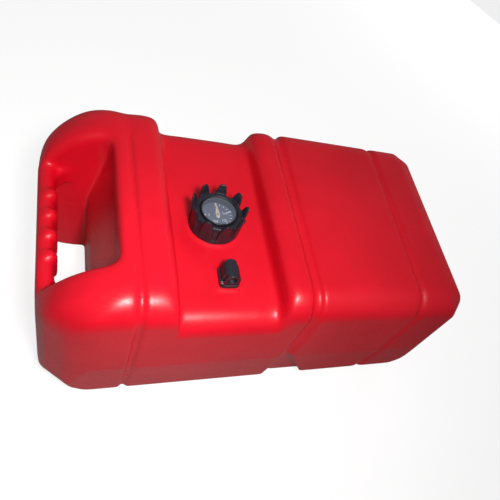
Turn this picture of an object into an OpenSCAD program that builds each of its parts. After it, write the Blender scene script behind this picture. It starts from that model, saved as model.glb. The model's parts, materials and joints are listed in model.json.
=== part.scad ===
// Portable outboard fuel tank: blow-moulded tank with a carry handle in one end, a screw cap that
// clamps a float gauge in the filler neck, and a withdrawal fitting with its dip tube.
// Millimetres. The origin is the middle of the footprint on the ground, +Z up.
// The handle end faces -X and the plain end +X.

/* [Tank] */
// Overall length, handle end to plain end
tank_l = 640; // [533:1:768]
// Overall width
tank_w = 360; // [300:1:432]
// Height over the two blocks
tank_h = 274; // [240:1:329]
// Height of the sunk deck that carries the filler
deck_h = 235; // [205:1:236]
// Wall thickness
wall = 5; // [3:0.5:7]
// Height of the parting line
parting_z = 117; // [95:1:135]
// How far each side leans in between the parting line and the ground
side_lean = 12; // [4:1:20]

/* [Tank corners] */
// Round of the handle end's top edge, seen from the side
handle_top_r = 101; // [85:1:104]
// Round of the handle end's bottom edge, seen from the side
handle_bottom_r = 51; // [30:1:65]
// Round of the plain end's top edge, seen from the side
end_top_r = 56; // [35:1:80]
// Round of the plain end's bottom edge, seen from the side
end_bottom_r = 72; // [40:1:90]
// Upright corner radius at the handle end
handle_corner_r = 67; // [50:1:72]
// Upright corner radius at the plain end
end_corner_r = 42; // [25:1:60]
// Round of the handle end's corners, top and bottom, seen along a diagonal
handle_diagonal_r = 72; // [40:1:85]
// Round of the plain end's corners, top and bottom, seen along a diagonal
end_diagonal_r = 56; // [30:1:75]
// How much the diagonal view takes off the upright corners
diagonal_off = 1.5; // [0.5:0.5:4]
// Long top edge radius on the blocks
block_edge_r = 41; // [25:1:45]
// Long top edge radius on the deck
deck_edge_r = 32; // [20:1:36]
// Long bottom edge radius
bottom_edge_r = 29; // [15:1:40]

/* [Deck and grooves] */
// Deck length, foot of the step at the handle end to foot of the ridge
deck_l = 126; // [105:1:151]
// Distance of the deck's foot at the handle end from that end
deck_start = 167; // [150:1:180]
// How far each step leans over its height
step_lean = 8; // [2:1:12]
// Fillet at the foot of each step
step_foot_r = 8; // [3:1:12]
// Round at the top of the step from the handle block
step_top_r = 27; // [6:1:28]
// Round at the top of the ridge
ridge_top_r = 20; // [6:1:24]
// Distance of the handle block's groove from the handle end
groove_a_at = 112; // [106:1:135]
// Distance of the ridge groove from the handle end
groove_b_at = 347; // [330:1:370]
// Distance of the far groove from the handle end
groove_c_at = 532; // [500:1:560]
// Width of the two narrow grooves
groove_w = 9; // [6:1:14]
// Depth of the two narrow grooves
groove_d = 4.5; // [2:0.5:7]
// Width of the ridge groove
ridge_groove_w = 15; // [8:1:20]
// Depth of the ridge groove
ridge_groove_d = 7; // [3:0.5:9]
// Width of the side recess below the ridge groove, at the ground
recess_w = 68; // [40:1:90]
// Depth of that recess at the ground
recess_d = 14; // [6:1:18]

/* [Handle] */
// Half-width of the hand opening
hand_half_w = 105; // [90:1:112]
// Thickness of the handle bar along the tank
bar_t = 21; // [18:1:32]
// Height of the handle bar's cross-section
bar_h = 46; // [36:1:54]
// Height of the bar's top above the ground
bar_top_z = 203; // [185:1:212]
// Corner radius of the bar's cross-section
bar_r = 9; // [6:1:9]
// Gap for the hand between the bar and the lower wall
hand_gap = 45; // [34:1:48]
// How far the wall flares back above the hand gap
hand_flare = 25; // [10:1:30]
// Height where the flare starts
flare_z = 135; // [120:1:150]
// Height where the flare ends
flare_top_z = 237; // [215:1:245]
// Upright fillet between bar and arms
bar_fillet_r = 28; // [15:1:32]
// Upright corner radius of the hand opening at the wall
hand_corner_r = 14; // [8:1:24]
// Number of finger ridges on the bar
ridge_count = 4; // [3:1:5]
// Spacing of the finger ridges
ridge_pitch = 34; // [28:1:40]
// How far a finger ridge stands proud
ridge_proud = 4; // [1:0.25:5]

/* [Filler and cap] */
// Filler centre, distance from the handle end
filler_at = 224; // [218:1:232]
// Filler centre, distance off the middle line towards the front
filler_off = 14; // [0:1:18]
// Bore radius of the filler neck
neck_bore_r = 27; // [22.5:0.5:32.5]
// Wall of the filler neck
neck_wall = 4; // [3:0.5:6]
// Height of the neck above the deck
neck_h = 26; // [18:1:30]
// Side wall of the screw cap
cap_wall = 4; // [3.5:0.5:8]
// Number of grip lugs on the cap
lug_count = 9; // [6:1:12]
// Height of the lug tips above the deck
lug_top = 49; // [44:1:56]
// Turn of the cap at rest, degrees
lug_start = -3; // [-20:1:20]
// Width of a lug at its root
lug_w = 17; // [10:1:20]
// Lean of the lugs away from the axis, degrees
lug_lean = 6; // [0:1:16]

/* [Gauge] */
// Rim left round the clear window inside the neck
window_rim = 3; // [2:0.5:6]
// Float travel
float_travel = 170; // [120:1:204]
// Turn of the pointer over the float's travel, degrees
gauge_turn = 270; // [90:5:300]
// Gap between the float and the bore of the neck that it is lifted out through
float_gap = 7; // [4:0.5:9]
// Float height
float_h = 32; // [22:1:36]
// Width of the twisted strip
strip_w = 7; // [5:0.5:8]
// Thickness of the twisted strip
strip_t = 0.9; // [0.6:0.1:1.2]
// Guide rod radius
rod_r = 2; // [1.5:0.25:3]
// Distance of each guide rod from the axis
rod_at = 14; // [11:0.5:16]

/* [Withdrawal fitting] */
// Fitting centre, distance from the handle end
pickup_at = 231; // [222:1:240]
// Fitting centre, distance off the middle line towards the front
pickup_off = 107; // [100:1:120]
// Length of the fitting's base across the tank
pickup_l = 32; // [28:1:40]
// Width of the fitting's base along the tank
pickup_w = 28; // [28:1:40]
// Radius of the fitting's barrel
barrel_r = 10; // [9:0.5:12]
// Height of the barrel's axis above the gasket
barrel_z = 15; // [11:0.5:18]
// Radius of the tapped hose port
port_r = 5.56; // [4.5:0.01:6.5]
// Depth of the tapped hose port
port_depth = 11; // [8:0.5:12]
// Outer radius of the dip tube
tube_r = 4.76; // [4:0.01:5.5]
// Wall of the dip tube
tube_wall = 1.2; // [0.8:0.1:1.6]

/* [Hidden] */
$fn = 64;
far = 500;                                   // longer than anything that is cut
eps = 0.01;
hair = 0.05;                                 // keeps two views from sharing one plane
run_gap = 0.3;                               // between pieces that move past each other
seat_gap = 0.2;                              // between a seat and a piece that is clamped on it
pin_gap = 0.05;                              // running fit of a shaft in its bore

x_handle = -tank_l / 2;                      // the handle end
deck_x0 = x_handle + deck_start;
deck_x1 = deck_x0 + deck_l;
deck_drop = tank_h - deck_h;
step_fit = min(1, deck_drop / (step_foot_r + max(step_top_r, ridge_top_r)));  // rounds kept on the steps
bar_x1 = x_handle + bar_t;                   // inner face of the bar
hand_x1 = bar_x1 + hand_gap;                 // lower wall behind the hand
flare_x1 = hand_x1 + hand_flare;             // upper wall behind the hand
flare_low_r = 40;                            // where the wall starts to flare
flare_high_r = 30;                           // where it ends
recess_foot_x = groove_b_at + x_handle + 40; // middle of the side recess at the ground

filler_x = x_handle + filler_at;
filler_y = -filler_off;
neck_r = neck_bore_r + neck_wall;
neck_top = deck_h + neck_h;
gasket_t = 2;
flange_t = 3;
flange_z = neck_top + gasket_t;              // underside of the gauge's flange
cap_in_r = neck_r + 0.6;
cap_r = cap_in_r + cap_wall;
cap_foot = deck_h + 4;
cap_lip_z = flange_z + flange_t + seat_gap;  // underside of the cap's lip
cap_lip_t = 3.2;
lug_t = 4;
cup_r = neck_bore_r - 1.2;                   // gauge housing inside the neck
cup_floor_z = deck_h - 9;                    // underside of the housing
cup_floor_t = 7;
cup_top = cap_lip_z + cap_lip_t + 2;
lens_r = neck_bore_r - window_rim;           // clear window
window_r = lens_r + seat_gap;                // its seat
float_r = neck_bore_r - float_gap;
cup_wall = 2.4;
lens_z = cup_top - 3.4;                      // ledge that the window rests on
lens_t = 2.2;
seal_t = 1;
dial_t = 1;
dial_z = lens_z - 9.6;
spindle_r = 1.6;
collar_t = 1.4;
pointer_z = dial_z + dial_t + 1.6;
strip_top = cup_floor_z - 3;
slot_plate_t = 1;
foot_t = 3;
clip_t = 1.2;
foot_z = strip_top - float_travel - float_h - slot_plate_t - 2 * run_gap - foot_t;  // its underside
float_z = foot_z + foot_t + run_gap;         // underside of the float at rest
strip_low = foot_z + foot_t + 0.8;
strip_turn = gauge_turn / float_travel;      // degrees of twist in each millimetre
float_bore_r = strip_w / 2 + 1.5;

pickup_x = x_handle + pickup_at;
pickup_y = -pickup_off;
pad_h = 2;                                   // raised pad round each opening in the deck
pickup_z = deck_h + pad_h;                   // seat of the fitting's gasket
pickup_gasket_t = 1.5;
pickup_base_z = pickup_z + pickup_gasket_t;
pickup_base_t = 5;
port_z = pickup_base_z + barrel_z;
port_y = pickup_y - pickup_l / 2 + 1.5;      // mouth of the hose port
screw_r = 1.9;
screw_head_r = 3.2;
screw_x = pickup_w / 2 - screw_head_r - 0.5; // each screw, from the fitting's centre
screw_y = pickup_l / 2 - screw_head_r - 2.3;
insert_r = 3.4;
insert_l = 11;
stub_r = 7.2;                                // fitting's stub that holds the dip tube
stub_l = 22;
tube_seat = 6;                               // depth of the tube's stop in the fitting, below its base
passage_r = tube_r - tube_wall;              // passage from the tube to the port
ferrule_t = 1;
tube_low = wall + 9;
screen_r = 8;
screen_h = 22;
screen_t = 1;
pickup_hole_r = max(stub_r + ferrule_t, screen_r) + 0.6;  // the dip tube goes in from above

red = "crimson";
black = "#1c1c20";

// ---------------------------------------------------------------- outlines

// Turn of the path at corner b, from a through b to c
function turn(a, b, c) = (b[0] - a[0]) * (c[1] - b[1]) - (b[1] - a[1]) * (c[0] - b[0]);
function unit(v) = v / norm(v);

// A closed outline, counterclockwise, with its own radius at each corner: [[x, y, r], ...].
// A corner's straight cut is trimmed by a full circle, so every round stays a true arc.
module outline(pts) {
    n = len(pts);
    xy = [for (p = pts) [p[0], p[1]]];
    to_prev = [for (i = [0:n - 1]) unit(xy[(i + n - 1) % n] - xy[i])];
    to_next = [for (i = [0:n - 1]) unit(xy[(i + 1) % n] - xy[i])];
    half = [for (i = [0:n - 1]) acos(max(-1, min(1, to_prev[i] * to_next[i]))) / 2];
    back = [for (i = [0:n - 1]) pts[i][2] / tan(half[i])];
    centre = [for (i = [0:n - 1]) xy[i] + unit(to_prev[i] + to_next[i]) * pts[i][2] / sin(half[i])];
    bend = [for (i = [0:n - 1]) turn(xy[(i + n - 1) % n], xy[i], xy[(i + 1) % n])];
    difference() {
        union() {
            polygon([for (i = [0:n - 1]) each
                (pts[i][2] > 0 ? [xy[i] + to_prev[i] * back[i], xy[i] + to_next[i] * back[i]] : [xy[i]])]);
            for (i = [0:n - 1]) if (bend[i] > 0 && pts[i][2] > 0) translate(centre[i]) circle(pts[i][2]);
        }
        for (i = [0:n - 1]) if (bend[i] < 0 && pts[i][2] > 0) translate(centre[i]) circle(pts[i][2]);
    }
}

// Extrude a side view (x, z) across the tank, centred on the middle plane
module across(width) { rotate([90, 0, 0]) translate([0, 0, -width / 2]) linear_extrude(width) children(); }

// Extrude a cross-section (y, z) along the tank from x0 to x1
module along(x0, x1) {
    translate([x0, 0, 0]) rotate([90, 0, 90]) linear_extrude(x1 - x0) children();
}

// ---------------------------------------------------------------- tank body

// Cross-section of the tank, drawn in by inset, with its top at the given height.
// It sets the top and the bottom; the view from above sets the sides and ends.
module section(inset, top_z, top_r) {
    w = tank_w / 2 - inset + hair;
    foot = w - side_lean * (1 - inset / parting_z);
    outline([[-foot, inset, bottom_edge_r - inset], [foot, inset, bottom_edge_r - inset],
             [w, parting_z, 0], [w, top_z - inset, top_r - inset],
             [-w, top_z - inset, top_r - inset], [-w, parting_z, 0]]);
}

// Side view of the tank without its deck
module side_view(inset) {
    x0 = x_handle + inset - hair;
    x1 = tank_l / 2 - inset + hair;
    low = inset - hair;
    top = tank_h - inset + hair;
    outline([[x0, low, handle_bottom_r - inset], [x1, low, end_bottom_r - inset],
             [x1, top, end_top_r - inset], [x0, top, handle_top_r - inset]]);
}

// View from above
module plan_view(inset) {
    x0 = x_handle + inset;
    x1 = tank_l / 2 - inset;
    w = tank_w / 2 - inset;
    outline([[x0, -w, handle_corner_r - inset], [x1, -w, end_corner_r - inset],
             [x1, w, end_corner_r - inset], [x0, w, handle_corner_r - inset]]);
}

// View along a diagonal, from which the four corners are rounded off
module diagonal_view(inset) {
    half_l = tank_l / 2 - inset;
    half_w = tank_w / 2 - inset;
    u0 = -((half_l + half_w) - (handle_corner_r - inset) * (2 - sqrt(2))) / sqrt(2) + diagonal_off;
    u1 = ((half_l + half_w) - (end_corner_r - inset) * (2 - sqrt(2))) / sqrt(2) - diagonal_off;
    low = inset - hair;
    top = tank_h - inset + hair;
    outline([[u0, low, handle_diagonal_r - inset], [u1, low, end_diagonal_r - inset],
             [u1, top, end_diagonal_r - inset], [u0, top, handle_diagonal_r - inset]]);
}

// Side view of what the deck takes out of the two blocks
module deck_view(inset) {
    low = deck_h - inset;
    edge = tank_h - inset;
    top = tank_h + 30;
    x0 = deck_x0 - inset;
    x1 = deck_x1 + inset;
    past = step_lean + 60;                   // how far the cut runs on over the blocks
    outline([[x0, low, step_foot_r * step_fit + inset], [x1, low, step_foot_r * step_fit + inset],
             [x1 + step_lean, edge, ridge_top_r * step_fit - inset], [x1 + past, edge, 0],
             [x1 + past, top, 0], [x0 - past, top, 0],
             [x0 - past, edge, 0], [x0 - step_lean, edge, step_top_r * step_fit - inset]]);
}

module tank_form(inset) {
    difference() {
        intersection() {
            along(-far, far) section(inset, tank_h, block_edge_r);
            linear_extrude(tank_h) plan_view(inset);
            across(tank_w + 10) side_view(inset);
            rotate([0, 0, 45]) across(2 * far) diagonal_view(inset);
            rotate([0, 0, -45]) across(2 * far) diagonal_view(inset);
        }
        deck_cut(inset);
        groove(groove_a_at, groove_w, groove_d, inset, tank_h, block_edge_r);
        groove(groove_b_at, ridge_groove_w, ridge_groove_d, inset, tank_h, block_edge_r);
        groove(groove_c_at, groove_w, groove_d, inset, tank_h, block_edge_r);
        for (side = [0, 1]) mirror([0, side, 0]) side_recess(inset);
        hand_opening(inset);
    }
}

// The deck keeps a rounded long edge of its own
module deck_cut(inset) {
    across(tank_w + 10) deck_view(inset);
    difference() {
        along(deck_x0 - inset - step_foot_r, deck_x1 + inset + step_foot_r)
            translate([-far, deck_h - deck_edge_r]) square([2 * far, deck_drop + deck_edge_r]);
        along(-far, far) section(inset, deck_h, deck_edge_r);
    }
}

// A ring of the wall taken in all round the tank
module groove(at, width, depth, inset, top_z, top_r) {
    x = x_handle + at;
    half = width / 2 + inset;
    difference() {
        along(x - half, x + half) translate([-far, -far]) square(2 * far);
        along(x - half - 1, x + half + 1) section(inset + depth, top_z, top_r);
    }
}

// The ridge groove opens out into a wedge-shaped recess in each lower side
module side_recess(inset) {
    x = x_handle + groove_b_at;
    half_top = ridge_groove_w / 2;
    y_top = -tank_w / 2 + ridge_groove_d;
    y_low = -tank_w / 2 + side_lean + recess_d;
    intersection() {
        across(far) outline([[recess_foot_x - recess_w / 2 - inset, -1, 0],
                             [recess_foot_x + recess_w / 2 + inset, -1, 0],
                             [x + half_top + inset, parting_z + inset, 0],
                             [x - half_top - inset, parting_z + inset, 0]]);
        along(-far, far) polygon([[-far, -1], [y_low + inset, -1], [y_top + inset, parting_z],
                                  [y_top + inset, parting_z + 2 * wall], [-far, parting_z + 2 * wall]]);
    }
}

// Space for the hand: a shaft down between the arms, open to the end above and below the bar
module hand_opening(inset) {
    x1 = hand_x1 + inset;
    x2 = flare_x1 + inset;
    intersection() {
        across(far) outline([[x_handle - 20, -20, 0], [x1, -20, 0], [x1, flare_z, flare_low_r],
                             [x2, flare_top_z, flare_high_r], [x2, tank_h + 20, 0],
                             [x_handle - 20, tank_h + 20, 0]]);
        w = hand_half_w + inset;
        translate([0, 0, -30]) linear_extrude(tank_h + 60)
            outline([[x_handle - 30, -w, 0], [x2, -w, hand_corner_r], [x2, w, hand_corner_r],
                     [x_handle - 30, w, 0]]);
    }
}

// Bar across the handle end, with finger ridges on its inner side
module handle_bar() {
    z0 = bar_top_z - bar_h;
    reach = 2 * hand_half_w + wall;
    across(reach) outline([[x_handle, z0, bar_r], [bar_x1, z0, bar_r],
                           [bar_x1, bar_top_z, bar_r], [x_handle, bar_top_z, bar_r]]);
    for (i = [0:ridge_count - 1])
        translate([0, (i - (ridge_count - 1) / 2) * ridge_pitch, 0])
            across(ridge_pitch * 0.4) translate([ridge_proud, 0])
                outline([[x_handle, z0 - ridge_proud, bar_r], [bar_x1, z0 - ridge_proud, bar_r],
                         [bar_x1, bar_top_z + ridge_proud, bar_r],
                         [x_handle, bar_top_z + ridge_proud, bar_r]]);
    for (side = [0, 1]) mirror([0, side, 0])
        translate([bar_x1 - 1, -hand_half_w - 1, z0 + bar_r]) difference() {
            cube([bar_fillet_r + 1, bar_fillet_r + 1, bar_h - 2 * bar_r]);
            translate([bar_fillet_r + 1, bar_fillet_r + 1, -1]) cylinder(r = bar_fillet_r, h = bar_h);
        }
}

module tank_shell() {
    color(red) difference() {
        union() {
            tank_form(0);
            handle_bar();
            translate([filler_x, filler_y, deck_h - 2]) cylinder(r = cap_r + 3, h = pad_h + 2);
            translate([filler_x, filler_y, deck_h - 2]) cylinder(r = neck_r, h = neck_h + 2);
            translate([pickup_x, pickup_y, deck_h - 2]) fitting_base(pad_h + 2, 3);
        }
        tank_cavity();
        translate([filler_x, filler_y, deck_h - 2 * wall])
            cylinder(r = neck_bore_r, h = neck_h + 3 * wall);
        translate([pickup_x, pickup_y, deck_h - 2 * wall]) cylinder(r = pickup_hole_r, h = 3 * wall);
        at_screws() translate([0, 0, pickup_z - insert_l]) cylinder(r = insert_r, h = insert_l + 1);
    }
}

// Inside of the tank; the fitting's screw bosses are left standing in it
module tank_cavity() {
    difference() {
        tank_form(wall);
        at_screws() translate([0, 0, pickup_z - insert_l - 3]) cylinder(r = insert_r + 3, h = insert_l + 3);
    }
}

// ---------------------------------------------------------------- cap and gauge

module at_filler(z) { translate([filler_x, filler_y, z]) children(); }

module neck_gasket() {
    color(black) at_filler(neck_top) difference() {
        cylinder(r = neck_r - 0.3, h = gasket_t);
        translate([0, 0, -1]) cylinder(r = neck_bore_r, h = gasket_t + 2);
    }
}

module cap_ring() {
    color(black) {
        at_filler(0) {
            rotate_extrude() difference() {
                outline([[0, cap_foot, 0], [cap_r + 1.5, cap_foot, 0.8], [cap_r + 1.5, cap_foot + 5, 0.8],
                         [cap_r, cap_foot + 7, 2], [cap_r - 1.5, cap_lip_z + cap_lip_t, 2],
                         [0, cap_lip_z + cap_lip_t, 0]]);
                translate([-1, cap_foot - 1]) square([cap_in_r + 1, cap_lip_z - cap_foot + 1]);
                translate([-1, cap_lip_z - 1]) square([cup_r + 1.6, cap_lip_t + 2]);
            }
            for (i = [0:lug_count - 1]) rotate([0, 0, lug_start + i * 360 / lug_count]) cap_lug();
        }
    }
}

// One upright grip lug: a tapering tab with a rounded tip that leans outwards
module cap_lug() {
    root_z = cap_foot + 6;
    h = (deck_h + lug_top - root_z) / cos(lug_lean);
    translate([cap_r - 3.4, 0, root_z]) rotate([0, lug_lean, 0])
        rotate([90, 0, 90]) linear_extrude(lug_t)
            outline([[-lug_w / 2, 0, 0], [lug_w / 2, 0, 0], [lug_w * 0.28, h, 2.5], [-lug_w * 0.28, h, 2.5]]);
}

module gauge_housing() {
    color(black) at_filler(0) difference() {
        rotate_extrude() difference() {
            outline([[0, cup_floor_z, 0], [cup_r, cup_floor_z, 1.5], [cup_r, flange_z, 0],
                     [neck_r - 0.3, flange_z, 0], [neck_r - 0.3, flange_z + flange_t, 0.8],
                     [cup_r, flange_z + flange_t, 0], [cup_r, cup_top, 1], [0, cup_top, 0]]);
            translate([-1, cup_floor_z + cup_floor_t]) square([cup_r - cup_wall + 1, far]);
            translate([-1, lens_z]) square([window_r + 1, far]);
            translate([-1, cup_floor_z - 1]) square([spindle_r + pin_gap + 1, cup_floor_t + 2]);
        }
        for (side = [-1, 1]) translate([0, side * rod_at, cup_floor_z - 1]) cylinder(r = rod_r, h = 6);
        rotate([0, 0, 90]) translate([0, rod_at, cup_floor_z - 1]) cylinder(r = 1.3, h = cup_floor_t + 2);
    }
}

module gauge_dial() {
    color("white") at_filler(dial_z) difference() {
        cylinder(r = cup_r - cup_wall - 0.1, h = dial_t);
        translate([0, 0, -1]) cylinder(r = spindle_r + 0.8, h = dial_t + 2);
    }
    color("white") at_filler(cup_floor_z + cup_floor_t) difference() {
        cylinder(r = cup_r - cup_wall - 0.1, h = dial_z - cup_floor_z - cup_floor_t);
        translate([0, 0, -1]) cylinder(r = cup_r - cup_wall - 1.6, h = far);
    }
}

module lens_seal() {
    color("dimgray") at_filler(lens_z) difference() {
        cylinder(r = window_r - 0.1, h = seal_t);
        translate([0, 0, -1]) cylinder(r = cup_r - cup_wall, h = seal_t + 2);
    }
}

// Window with a shallow dome
module gauge_lens() {
    dome = 3;
    r_dome = (lens_r * lens_r + dome * dome) / (2 * dome);
    color("lightgray", 0.5) at_filler(lens_z + seal_t) rotate_extrude() intersection() {
        square([lens_r, lens_t + dome]);
        difference() {
            translate([0, lens_t + dome - r_dome]) circle(r_dome, $fn = 256);
            translate([0, dome - r_dome]) circle(r_dome - 0.4, $fn = 256);
        }
    }
}

module pointer() {
    color("orangered") at_filler(pointer_z) difference() {
        linear_extrude(1) outline([[-1.6, -6, 0.6], [1.6, -6, 0.6], [3.4, 0, 2], [0.5, 17.5, 0.2],
                                   [-0.5, 17.5, 0.2], [-3.4, 0, 2]]);
        translate([0, 0, -1]) cylinder(r = spindle_r, h = 3);
    }
}

module spindle() {
    color("silver") at_filler(0) {
        translate([0, 0, strip_top]) cylinder(r = spindle_r, h = pointer_z + 1.6 - strip_top);
        translate([0, 0, cup_floor_z + cup_floor_t + run_gap]) cylinder(r = spindle_r + 1.4, h = collar_t);
    }
}

// Flat strip twisted along its length, with a pin at its foot
module twisted_strip() {
    h = strip_top - strip_low;
    color("silver") at_filler(0) {
        translate([0, 0, strip_low])
            rotate([0, 0, -(float_z + float_h + slot_plate_t / 2 - strip_low) * strip_turn])
                linear_extrude(h, twist = -h * strip_turn, slices = 80, segments = 0)
                    square([strip_w, strip_t], center = true);
        translate([0, 0, foot_z + 0.6]) cylinder(r = spindle_r - 0.4, h = strip_low - foot_z);
    }
}

module guide_rods() {
    color("silver") for (side = [-1, 1]) at_filler(foot_z - 4) translate([0, side * rod_at, 0])
        cylinder(r = rod_r, h = cup_floor_z + 5 - foot_z + 4);
}

module foot_plate() {
    color(black) at_filler(foot_z) difference() {
        linear_extrude(foot_t)
            outline([[-7, -float_r, 4], [7, -float_r, 4], [7, float_r, 4], [-7, float_r, 4]]);
        translate([0, 0, -1]) cylinder(r = spindle_r - 0.4 + pin_gap, h = foot_t + 2);
        for (side = [-1, 1]) translate([0, side * rod_at, -1]) cylinder(r = rod_r, h = foot_t + 2);
    }
}

// Push-on clips that hold the foot plate on the rods
module rod_clips() {
    color("silver") for (side = [-1, 1])
        at_filler(foot_z - clip_t) translate([0, side * rod_at, 0]) difference() {
            cylinder(r = rod_r + 2.2, h = clip_t);
            translate([0, 0, -1]) cylinder(r = rod_r, h = clip_t + 2);
        }
}

module float() {
    color("black") at_filler(float_z) difference() {
        rotate_extrude() outline([[0, 0, 0], [float_r, 0, 4], [float_r, float_h, 4], [0, float_h, 0]]);
        translate([0, 0, -1]) cylinder(r = float_bore_r, h = float_h + 2);
        for (side = [-1, 1]) translate([0, side * rod_at, -1]) cylinder(r = rod_r + run_gap, h = float_h + 2);
    }
}

// Plate on the float whose slot makes the strip turn
module slot_plate() {
    color("silver") at_filler(float_z + float_h) difference() {
        cylinder(r = rod_at - rod_r - 1, h = slot_plate_t);
        translate([-strip_w / 2 - run_gap, -strip_t / 2 - run_gap, -1])
            cube([strip_w + 2 * run_gap, strip_t + 2 * run_gap, slot_plate_t + 2]);
    }
}

// Rubber umbrella valve that lets air in through the housing's floor
module vent_valve() {
    color("dimgray") at_filler(cup_floor_z) rotate([0, 0, 90]) translate([0, rod_at, 0]) {
        translate([0, 0, -1]) cylinder(r = 1.3, h = cup_floor_t + 1);
        translate([0, 0, -2]) cylinder(r = 4, h = 2);
    }
}

// ---------------------------------------------------------------- withdrawal fitting

// Base of the fitting, grown all round by extra
module fitting_base(h, extra) {
    x = pickup_w / 2 + extra;
    y = pickup_l / 2 + extra;
    r = 6 + extra;
    linear_extrude(h) outline([[-x, -y, r], [x, -y, r], [x, y, r], [-x, y, r]]);
}

// The two screws stand at opposite corners of the base
module at_screws() {
    for (side = [-1, 1]) translate([pickup_x + side * screw_x, pickup_y + side * screw_y, 0]) children();
}

module pickup_gasket() {
    color("dimgray") difference() {
        translate([pickup_x, pickup_y, pickup_z]) fitting_base(pickup_gasket_t, -0.4);
        translate([pickup_x, pickup_y, pickup_z - 1]) cylinder(r = pickup_hole_r, h = 4);
        at_screws() translate([0, 0, pickup_z - 1]) cylinder(r = screw_r + 0.4, h = 4);
    }
}

// Arch that lies across the tank on the base, with a round back end
module fitting_barrel() {
    back = pickup_l / 2 - 1.5 - barrel_r;
    intersection() {
        translate([0, pickup_l, 0]) rotate([90, 0, 0]) linear_extrude(2 * pickup_l) {
            translate([0, barrel_z]) circle(barrel_r);
            translate([-barrel_r, eps]) square([2 * barrel_r, barrel_z - eps]);
        }
        linear_extrude(far) {
            translate([0, back]) circle(barrel_r + hair);
            translate([-barrel_r - hair, port_y - pickup_y])
                square([2 * (barrel_r + hair), back - port_y + pickup_y]);
        }
    }
}

// Barrel with the hose port in its front end, on a base with a stub below for the dip tube
module pickup_body() {
    color(black) difference() {
        translate([pickup_x, pickup_y, pickup_base_z]) {
            fitting_base(pickup_base_t, 0);
            fitting_barrel();
            translate([0, 0, -stub_l]) cylinder(r = stub_r, h = stub_l + eps);
        }
        translate([pickup_x, port_y + port_depth, port_z]) rotate([90, 0, 0]) cylinder(r = port_r, h = far);
        translate([pickup_x, pickup_y, port_z]) rotate([90, 0, 0]) cylinder(r = passage_r - 0.4, h = far);
        translate([pickup_x, pickup_y, pickup_base_z - stub_l - 1]) {
            cylinder(r = passage_r, h = stub_l + 2 + barrel_z);
            cylinder(r = tube_r, h = stub_l + 1 - tube_seat);
        }
        at_screws() {
            translate([0, 0, pickup_base_z - 1]) cylinder(r = screw_r + 0.3, h = pickup_base_t + 2);
            translate([0, 0, pickup_base_z + pickup_base_t]) cylinder(r = screw_head_r + 0.6, h = far);
        }
    }
}

module pickup_screws() {
    color("silver") at_screws() {
        translate([0, 0, pickup_z - insert_l + 1.5])
            cylinder(r = screw_r, h = insert_l + pickup_gasket_t + pickup_base_t - 1.5);
        translate([0, 0, pickup_base_z + pickup_base_t]) rotate_extrude()
            outline([[0, 0, 0], [screw_head_r, 0, 0], [screw_head_r, 2.2, 1], [0, 2.2, 0]]);
    }
}

module screw_inserts() {
    color("goldenrod") at_screws() translate([0, 0, pickup_z - insert_l]) difference() {
        cylinder(r = insert_r, h = insert_l);
        translate([0, 0, 1]) cylinder(r = screw_r, h = insert_l);
    }
}

module dip_tube() {
    color("gainsboro") translate([pickup_x, pickup_y, tube_low]) difference() {
        cylinder(r = tube_r, h = pickup_base_z - tube_seat - tube_low);
        translate([0, 0, -1]) cylinder(r = passage_r, h = far);
    }
}

// Crimped ring that holds the tube in the stub
module tube_ferrule() {
    color("goldenrod") translate([pickup_x, pickup_y, pickup_base_z - stub_l + 2]) difference() {
        cylinder(r = stub_r + ferrule_t, h = 6);
        translate([0, 0, -1]) cylinder(r = stub_r, h = 8);
    }
}

// Slotted basket pushed onto the tube's foot
module pickup_screen() {
    color("silver") translate([pickup_x, pickup_y, tube_low - 3]) difference() {
        cylinder(r = screen_r, h = screen_h);
        translate([0, 0, screen_t]) cylinder(r = screen_r - screen_t, h = screen_h - screen_t - 3);
        translate([0, 0, screen_h - 4]) cylinder(r = tube_r, h = 5);
        for (i = [0:3]) rotate([0, 0, i * 45]) translate([-far / 2, -1.1, 4]) cube([far, 2.2, screen_h - 10]);
    }
}

tank_shell();
neck_gasket();
cap_ring();
gauge_housing();
gauge_dial();
lens_seal();
gauge_lens();
pointer();
spindle();
twisted_strip();
guide_rods();
foot_plate();
rod_clips();
float();
slot_plate();
vent_valve();
pickup_body();
pickup_gasket();
pickup_screws();
screw_inserts();
dip_tube();
tube_ferrule();
pickup_screen();
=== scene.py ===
# %% [markdown]
# # A portable outboard fuel tank
# This lesson dresses a finished CAD model of a red, blow-moulded fuel tank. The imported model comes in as
# a fixed frame: every part is already at its real place, in metres, with +Z up, the handle end towards -X
# and the front side towards -Y. Parts whose shape is right keep their CAD mesh and get a better finish.
# Parts that need softer or finer shapes are modelled here, ride on the same bodies and stand for the CAD
# part. The sizes that the lesson needs again are written down once, in this first cell.

# %% Frame and sizes
import json
import math

import bmesh
import bpy
from mathutils import Matrix, Vector

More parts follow.
